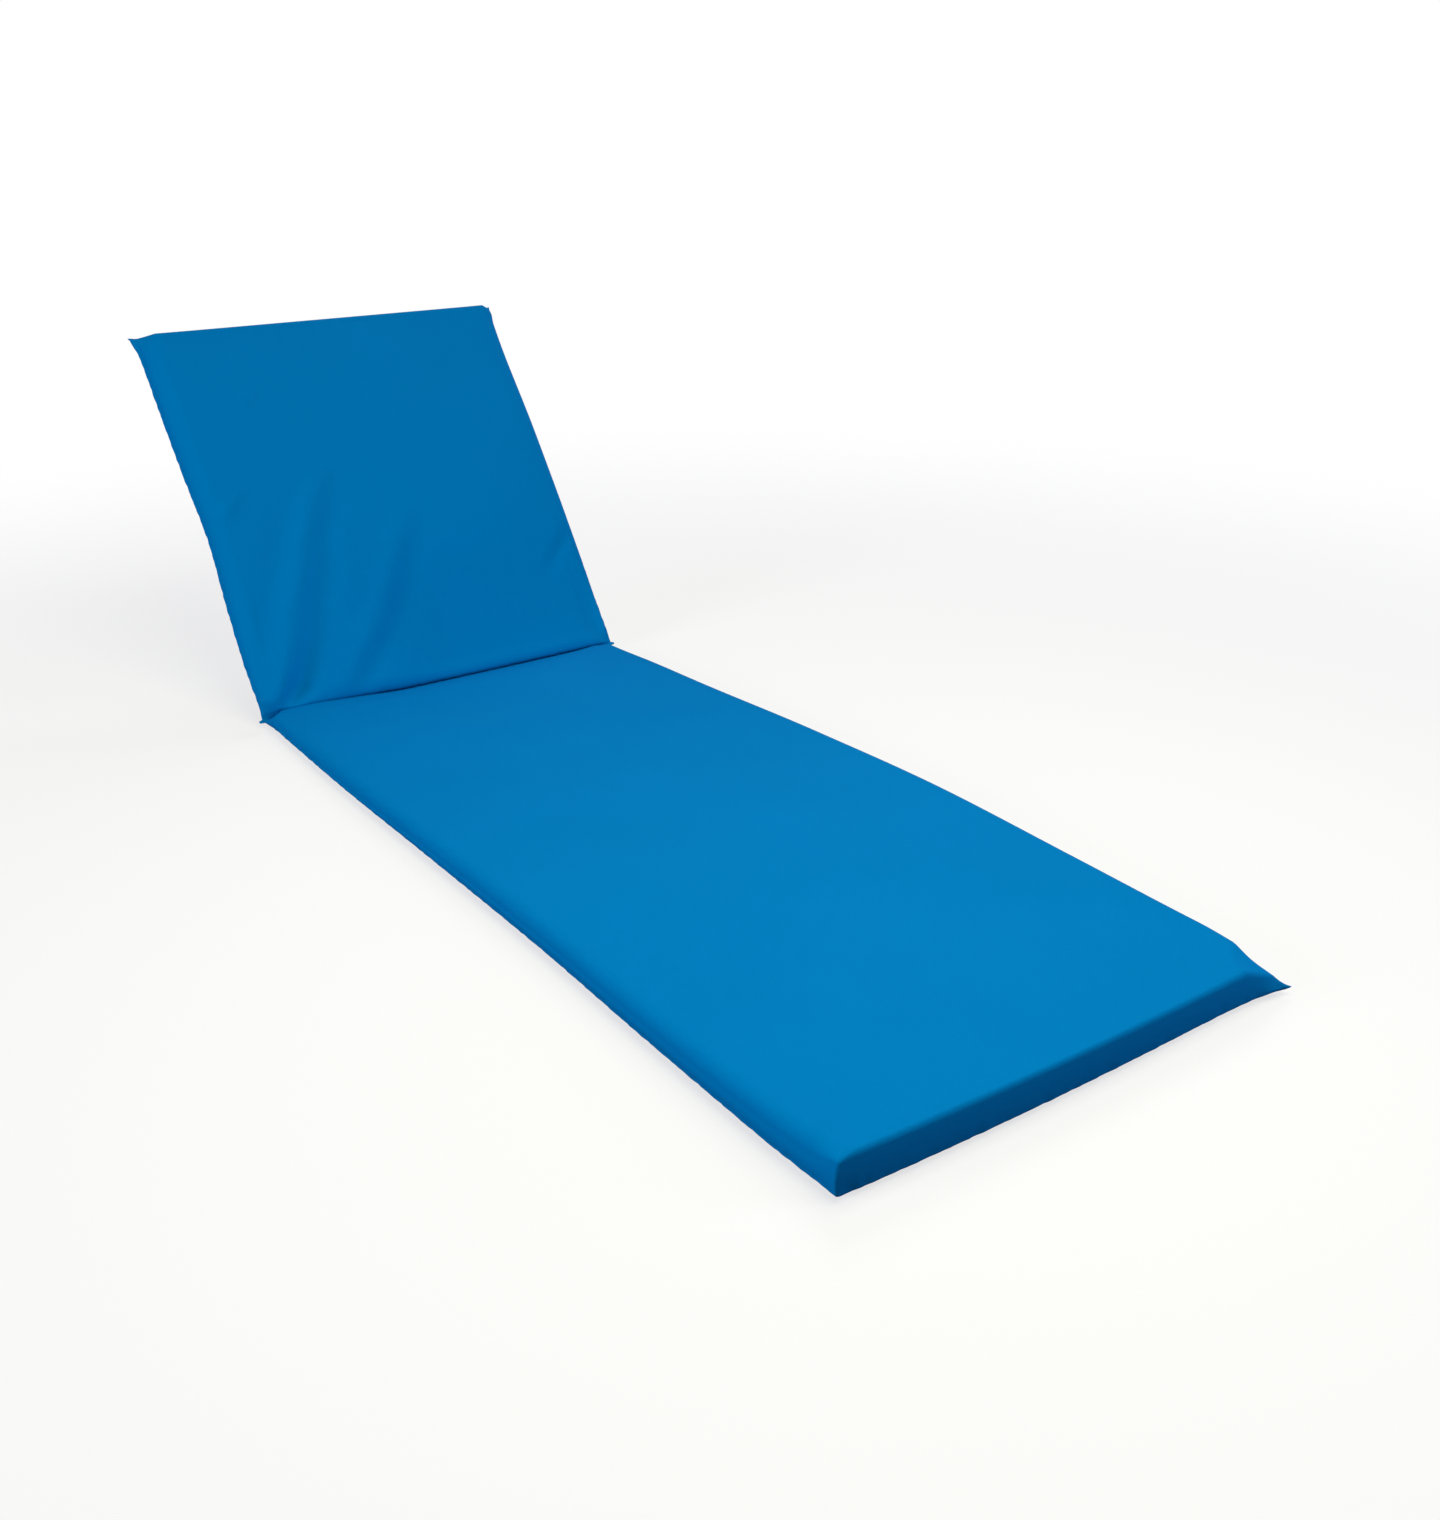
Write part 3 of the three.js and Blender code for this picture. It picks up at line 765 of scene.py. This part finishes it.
# Hinge stitching
# Two rows of lockstitch along the band, through both cloths, in polyester thread of the same blue.
# Each stitch is its own slim bead of thread on the upper and the lower side.
STITCH_ROW_REACH = 0.0022
STITCH_PITCH = 0.004
STITCH_LENGTH = 0.0032
THREAD_RADIUS = 0.00028
STITCH_ROWS_END = 0.012
STITCH_SIDES = 6
STITCH_STEPS = 6
STITCH_END_ROUNDING = 4
STITCH_END_SHARE = 0.1
THREAD_BLUE = "#0070B4"
THREAD_TWIST_PITCH = 0.0009
# Blender's wave texture runs through a whole turn in 2 pi / 20 of its unit
THREAD_TWIST_SCALE = 2 * math.pi / 20 / THREAD_TWIST_PITCH

stitch_points = []
stitch_faces = []
first_stitch = -STRIP_REACH + STITCH_ROWS_END
stitch_count = int(2 * (STRIP_REACH - STITCH_ROWS_END) / STITCH_PITCH)
for side in (-1, 1):
    for turn in (-1, 1):
        angle = BACK_RAISE * (turn + 1) / 2
        along_wing = np.array([0.0, math.cos(angle), math.sin(angle)])
        out_of_band = side * np.array([0.0, -math.sin(angle), math.cos(angle)])
        row = along_wing * turn * STITCH_ROW_REACH + out_of_band * STRIP_THICKNESS / 2
        for n in range(stitch_count):
            middle = row + np.array([first_stitch + (n + 0.5) * STITCH_PITCH, 0, 0])
            first_point = len(stitch_points)
            for k in range(STITCH_STEPS + 1):
                share = k / STITCH_STEPS
                rounding = math.sqrt(max(STITCH_END_SHARE**2, 1 - (2 * share - 1) ** STITCH_END_ROUNDING))
                centre = middle + np.array([(share - 0.5) * STITCH_LENGTH, 0, 0])
                for i in range(STITCH_SIDES):
                    around = 2 * math.pi * i / STITCH_SIDES
                    ring = along_wing * math.cos(around) + out_of_band * math.sin(around)
                    stitch_points.append(centre + ring * THREAD_RADIUS * rounding)
            for k in range(STITCH_STEPS):
                for i in range(STITCH_SIDES):
                    a = first_point + k * STITCH_SIDES + i
                    b = first_point + k * STITCH_SIDES + (i + 1) % STITCH_SIDES
                    stitch_faces.append((a, b, b + STITCH_SIDES, a + STITCH_SIDES))
            ends = range(first_point, first_point + STITCH_SIDES)
            stitch_faces.append(tuple(ends)[::-1])
            stitch_faces.append(tuple(i + STITCH_STEPS * STITCH_SIDES for i in ends))
stitch_mesh = bpy.data.meshes.new("hinge_stitching")
stitch_mesh.from_pydata([tuple(point) for point in stitch_points], [], stitch_faces)
stitch_mesh.polygons.foreach_set("use_smooth", np.ones(len(stitch_faces), bool))
stitch_mesh.transform(hinge_place)
stitching = bpy.data.objects.new("hinge_stitching", stitch_mesh)
bpy.context.collection.objects.link(stitching)

# Twisted polyester thread: smoother and a little glossier than the cloth, with its twist as fine bands
thread = bpy.data.materials.new("blue polyester sewing thread")
thread.use_nodes = True
tree = thread.node_tree
tree.nodes.clear()
in_space = add(tree, "NewGeometry")
twist = add(
    tree,
    "TexWave",
    {"Vector": in_space.outputs["Position"], "Scale": THREAD_TWIST_SCALE, "Distortion": 0.4},
    bands_direction="DIAGONAL",
)
ply = add(tree, "Bump", {"Strength": 0.5, "Distance": 0.0001, "Height": twist.outputs["Fac"]})
shine = add(
    tree,
    "BsdfPrincipled",
    {"Base Color": linear(THREAD_BLUE), "Roughness": 0.55, "IOR": 1.5, "Normal": ply.outputs["Normal"]},
)
add(tree, "OutputMaterial", {"Surface": shine.outputs["BSDF"]})
stitching.data.materials.append(thread)
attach(stitching, "root")


# Back panel
# The short panel, made like the seat and raised about the strip, with its cover pulled into
# soft slanting folds towards the near corner of the fold.
BACK_LENGTH = 0.634

# The outline from the fold to the head end, with the seat plan's columns
BACK_PLAN = (
    (0.000, 0.2905, 0.2905, 0.0310, 0.0310),
    (0.076, 0.2930, 0.2945, 0.0340, 0.0340),
    (0.178, 0.2900, 0.2955, 0.0370, 0.0370),
    (0.293, 0.2840, 0.2970, 0.0380, 0.0380),
    (0.407, 0.2880, 0.2980, 0.0380, 0.0380),
    (0.534, 0.2900, 0.2965, 0.0375, 0.0375),
    (0.634, 0.2885, 0.2990, 0.0365, 0.0365),
)
BACK_EARS = {
    "start_left": {"out": 0.006, "on": 0.003, "pinch": 0.95, "reach": 0.026},
    "start_right": {"out": 0.006, "on": 0.003, "pinch": 0.95, "reach": 0.026},
    "end_left": {"out": 0.013, "on": 0.008, "pinch": 0.9, "reach": 0.036},
    "end_right": {"out": 0.009, "on": 0.007, "pinch": 0.9, "reach": 0.026},
}

# The folds of the loose cover as stations along a crest or a trough: x, y, width and height.
# In order: the long fold's crest with the troughs on both sides, the short fold's crest and trough,
# small creases at the left, one at the right, the sag across the lower part, and the right edge.
BACK_FOLDS = (
    (
        (-0.090, 0.365, 0.018, 0.0004),
        (-0.110, 0.330, 0.020, 0.0030),
        (-0.132, 0.300, 0.022, 0.0050),
        (-0.161, 0.250, 0.022, 0.0060),
        (-0.181, 0.200, 0.024, 0.0065),
        (-0.208, 0.150, 0.026, 0.0068),
        (-0.226, 0.100, 0.025, 0.0070),
        (-0.251, 0.050, 0.020, 0.0080),
        (-0.274, 0.010, 0.016, 0.0080),
    ),
    (
        (-0.062, 0.365, 0.018, -0.0004),
        (-0.080, 0.330, 0.020, -0.0025),
        (-0.100, 0.300, 0.021, -0.0040),
        (-0.129, 0.250, 0.021, -0.0052),
        (-0.144, 0.200, 0.023, -0.0058),
        (-0.170, 0.150, 0.025, -0.0064),
        (-0.190, 0.100, 0.024, -0.0076),
        (-0.222, 0.050, 0.020, -0.0115),
        (-0.252, 0.010, 0.017, -0.0160),
    ),
    (
        (-0.142, 0.350, 0.020, -0.0004),
        (-0.164, 0.300, 0.021, -0.0020),
        (-0.194, 0.250, 0.021, -0.0024),
        (-0.216, 0.200, 0.022, -0.0024),
        (-0.244, 0.150, 0.022, -0.0022),
        (-0.262, 0.100, 0.018, -0.0016),
    ),
    (
        (0.022, 0.285, 0.018, 0.0004),
        (0.004, 0.250, 0.022, 0.0024),
        (-0.031, 0.200, 0.023, 0.0038),
        (-0.058, 0.150, 0.024, 0.0046),
        (-0.093, 0.100, 0.024, 0.0048),
        (-0.143, 0.050, 0.022, 0.0038),
        (-0.172, 0.018, 0.018, 0.0024),
    ),
    (
        (0.048, 0.280, 0.018, -0.0004),
        (0.034, 0.250, 0.021, -0.0020),
        (0.002, 0.200, 0.022, -0.0034),
        (-0.024, 0.150, 0.024, -0.0044),
        (-0.059, 0.100, 0.024, -0.0048),
        (-0.110, 0.050, 0.020, -0.0042),
        (-0.136, 0.018, 0.016, -0.0020),
    ),
    ((-0.218, 0.356, 0.009, 0.0004), (-0.246, 0.326, 0.011, 0.0024), (-0.274, 0.298, 0.010, 0.0012)),
    ((-0.134, 0.520, 0.007, 0.0002), (-0.162, 0.499, 0.009, 0.0016), (-0.192, 0.474, 0.009, 0.0004)),
    ((0.280, 0.192, 0.011, -0.0038), (0.250, 0.164, 0.013, -0.0036), (0.218, 0.130, 0.014, -0.0008)),
    (
        (-0.290, 0.110, 0.080, -0.0005),
        (-0.100, 0.090, 0.095, -0.0070),
        (0.020, 0.088, 0.110, -0.0170),
        (0.270, 0.088, 0.110, -0.0155),
    ),
    ((0.296, 0.000, 0.026, -0.0150), (0.296, 0.060, 0.024, -0.0120), (0.296, 0.130, 0.020, -0.0005)),
)

BACK_SHAPE = {
    "length": BACK_LENGTH,
    "plan": BACK_PLAN,
    "fold_at_end": False,
    "under_round": 0.042,
    "edge_height": 0.023,
    "free_height": 0.010,
    "side_edge": 0.030,
    "free_edge": 0.008,
    "fold_edge": 0.028,
    "fold_roundness": 0.7,
    "crown": 0.004,
    "under_crown": 0.004,
    "free_set_back": 0.0115,
    "free_bow": 0.0,
    "ears": BACK_EARS,
    "folds": BACK_FOLDS,
    "mesh_step": 0.0042,
}

back_place = hinge_place @ Matrix.Rotation(BACK_RAISE, 4, "X") @ Matrix.Translation((0, 0, -SEAM_HEIGHT))
back = panel_piece("back_cushion", BACK_SHAPE, back_place)
back.data.materials.append(blue_cloth)
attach(back, "root")
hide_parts("back_panel")
